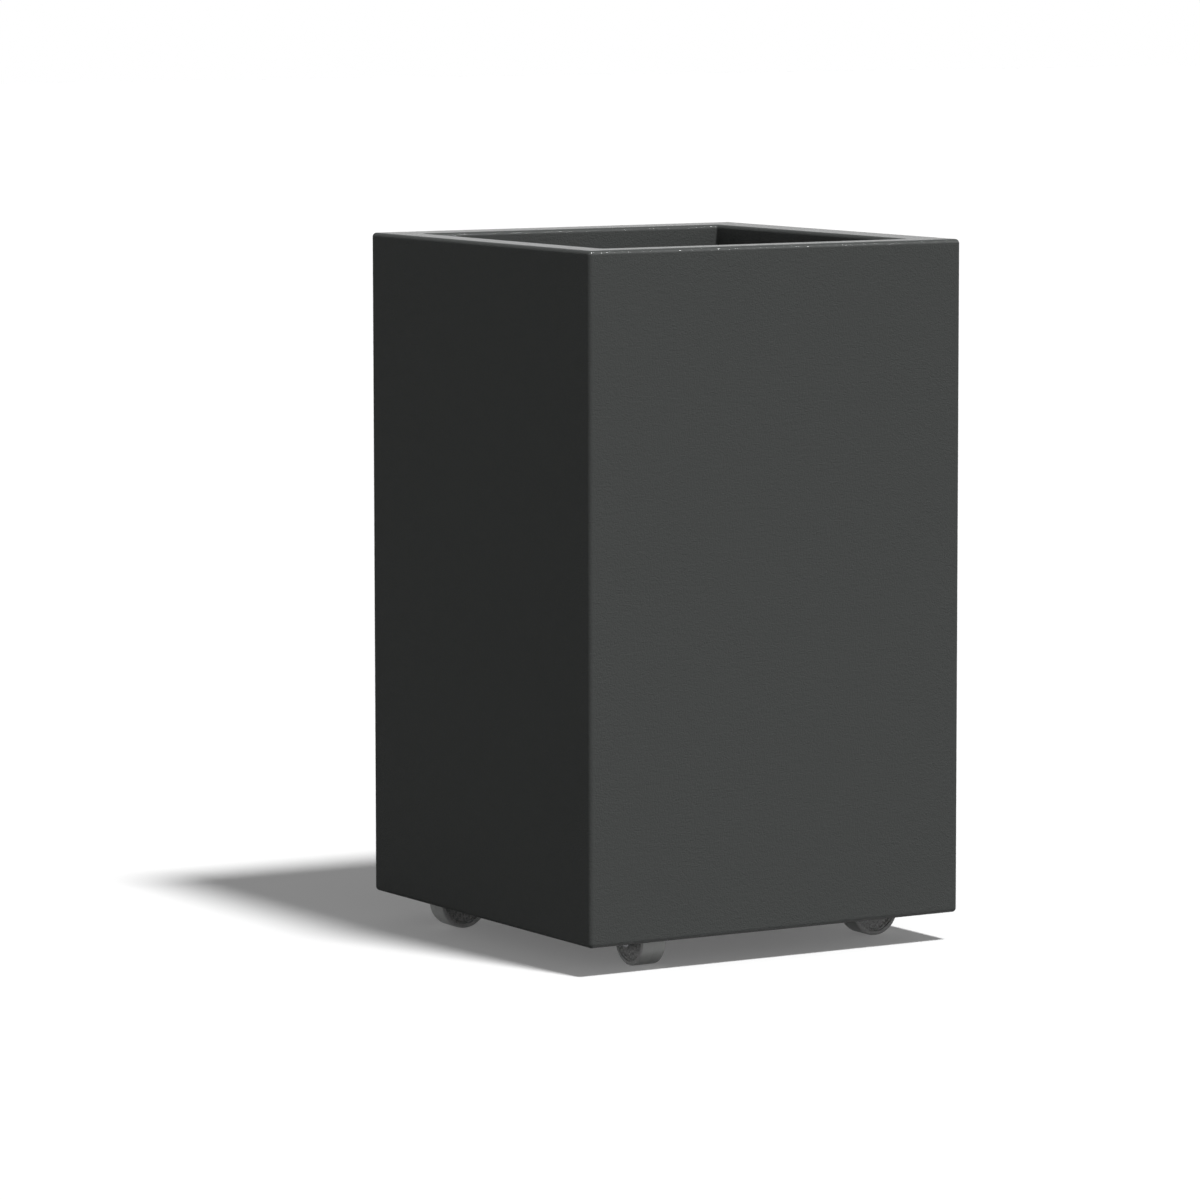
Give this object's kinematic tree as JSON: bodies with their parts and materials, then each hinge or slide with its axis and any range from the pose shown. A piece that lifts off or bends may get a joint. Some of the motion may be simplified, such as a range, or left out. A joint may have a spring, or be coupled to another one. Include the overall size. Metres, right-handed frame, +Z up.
{
  "type": "rolling planter",
  "caption": "Tall square box planter with a broad flat rim and a double-walled body, standing on swivel casters under a recessed base.",
  "frame": {"origin": "middle of the footprint, on the floor under the wheels", "axes": "+Z up; the front face looks along -Y; +X is the right face, seen from the front"},
  "size_m": [0.4, 0.4, 0.6555],
  "materials": {
    "body_coat": "anthracite, fine leather-grain moulded texture with a low satin sheen",
    "tub_plastic": "anthracite moulded plastic, plain matte",
    "base_board": "black moulded board, plain matte",
    "cleat_plastic": "grey recycled plastic, matte",
    "zinc_steel": "bright zinc plated pressed steel",
    "ball_steel": "polished",
    "bush_nylon": "natural nylon, satin",
    "drain_plastic": "black moulded plastic, satin",
    "gasket_rubber": "soft black rubber",
    "hub_plastic": "dark grey moulded plastic, fine rough texture",
    "tyre_rubber": "grey non-marking rubber, matte"
  },
  "bodies": {
    "planter": {"outer_shell": "body_coat", "planting_tub": "tub_plastic", "base_panel": "base_board", "cleat_front": "cleat_plastic", "cleat_back": "cleat_plastic", "cleat_left": "cleat_plastic", "cleat_right": "cleat_plastic", "panel_screws": "zinc_steel", "tee_nuts": "zinc_steel", "caster_bolts": "zinc_steel", "caster_washers": "zinc_steel", "drain_fitting": "drain_plastic", "drain_gasket": "gasket_rubber", "drain_nut": "drain_plastic", "drain_plug": "drain_plastic", "swivel_plate_front_left": "zinc_steel", "king_pin_front_left": "zinc_steel", "thrust_washer_front_left": "bush_nylon", "swivel_plate_front_right": "zinc_steel", "king_pin_front_right": "zinc_steel", "thrust_washer_front_right": "bush_nylon", "swivel_plate_back_right": "zinc_steel", "king_pin_back_right": "zinc_steel", "thrust_washer_back_right": "bush_nylon", "swivel_plate_back_left": "zinc_steel", "king_pin_back_left": "zinc_steel", "thrust_washer_back_left": "bush_nylon"},
    "caster_front_left": {"bearing_balls_front_left": "ball_steel", "fork_front_left": "zinc_steel", "axle_bolt_front_left": "zinc_steel", "axle_nut_front_left": "zinc_steel", "axle_sleeve_front_left": "zinc_steel"},
    "wheel_front_left": {"wheel_hub_front_left": "hub_plastic", "tyre_front_left": "tyre_rubber"},
    "caster_front_right": {"bearing_balls_front_right": "ball_steel", "fork_front_right": "zinc_steel", "axle_bolt_front_right": "zinc_steel", "axle_nut_front_right": "zinc_steel", "axle_sleeve_front_right": "zinc_steel"},
    "wheel_front_right": {"wheel_hub_front_right": "hub_plastic", "tyre_front_right": "tyre_rubber"},
    "caster_back_right": {"bearing_balls_back_right": "ball_steel", "fork_back_right": "zinc_steel", "axle_bolt_back_right": "zinc_steel", "axle_nut_back_right": "zinc_steel", "axle_sleeve_back_right": "zinc_steel"},
    "wheel_back_right": {"wheel_hub_back_right": "hub_plastic", "tyre_back_right": "tyre_rubber"},
    "caster_back_left": {"bearing_balls_back_left": "ball_steel", "fork_back_left": "zinc_steel", "axle_bolt_back_left": "zinc_steel", "axle_nut_back_left": "zinc_steel", "axle_sleeve_back_left": "zinc_steel"},
    "wheel_back_left": {"wheel_hub_back_left": "hub_plastic", "tyre_back_left": "tyre_rubber"}
  },
  "joints": [
    {"name": "swivel_front_left", "type": "hinge", "parent": "planter", "child": "caster_front_left", "pos_m": [-0.119, -0.119, 0.06], "axis": [0, 0, 1], "continuous": true},
    {"name": "roll_front_left", "type": "hinge", "parent": "caster_front_left", "child": "wheel_front_left", "pos_m": [-0.119, -0.154, 0.025], "axis": [1, 0, 0], "continuous": true},
    {"name": "swivel_front_right", "type": "hinge", "parent": "planter", "child": "caster_front_right", "pos_m": [0.119, -0.119, 0.06], "axis": [0, 0, 1], "continuous": true},
    {"name": "roll_front_right", "type": "hinge", "parent": "caster_front_right", "child": "wheel_front_right", "pos_m": [0.154, -0.119, 0.025], "axis": [0, 1, 0], "continuous": true},
    {"name": "swivel_back_right", "type": "hinge", "parent": "planter", "child": "caster_back_right", "pos_m": [0.119, 0.119, 0.06], "axis": [0, 0, 1], "continuous": true},
    {"name": "roll_back_right", "type": "hinge", "parent": "caster_back_right", "child": "wheel_back_right", "pos_m": [0.119, 0.154, 0.025], "axis": [-1, 0, 0], "continuous": true},
    {"name": "swivel_back_left", "type": "hinge", "parent": "planter", "child": "caster_back_left", "pos_m": [-0.119, 0.119, 0.06], "axis": [0, 0, 1], "continuous": true},
    {"name": "roll_back_left", "type": "hinge", "parent": "caster_back_left", "child": "wheel_back_left", "pos_m": [-0.154, 0.119, 0.025], "axis": [0, -1, 0], "continuous": true}
  ]
}
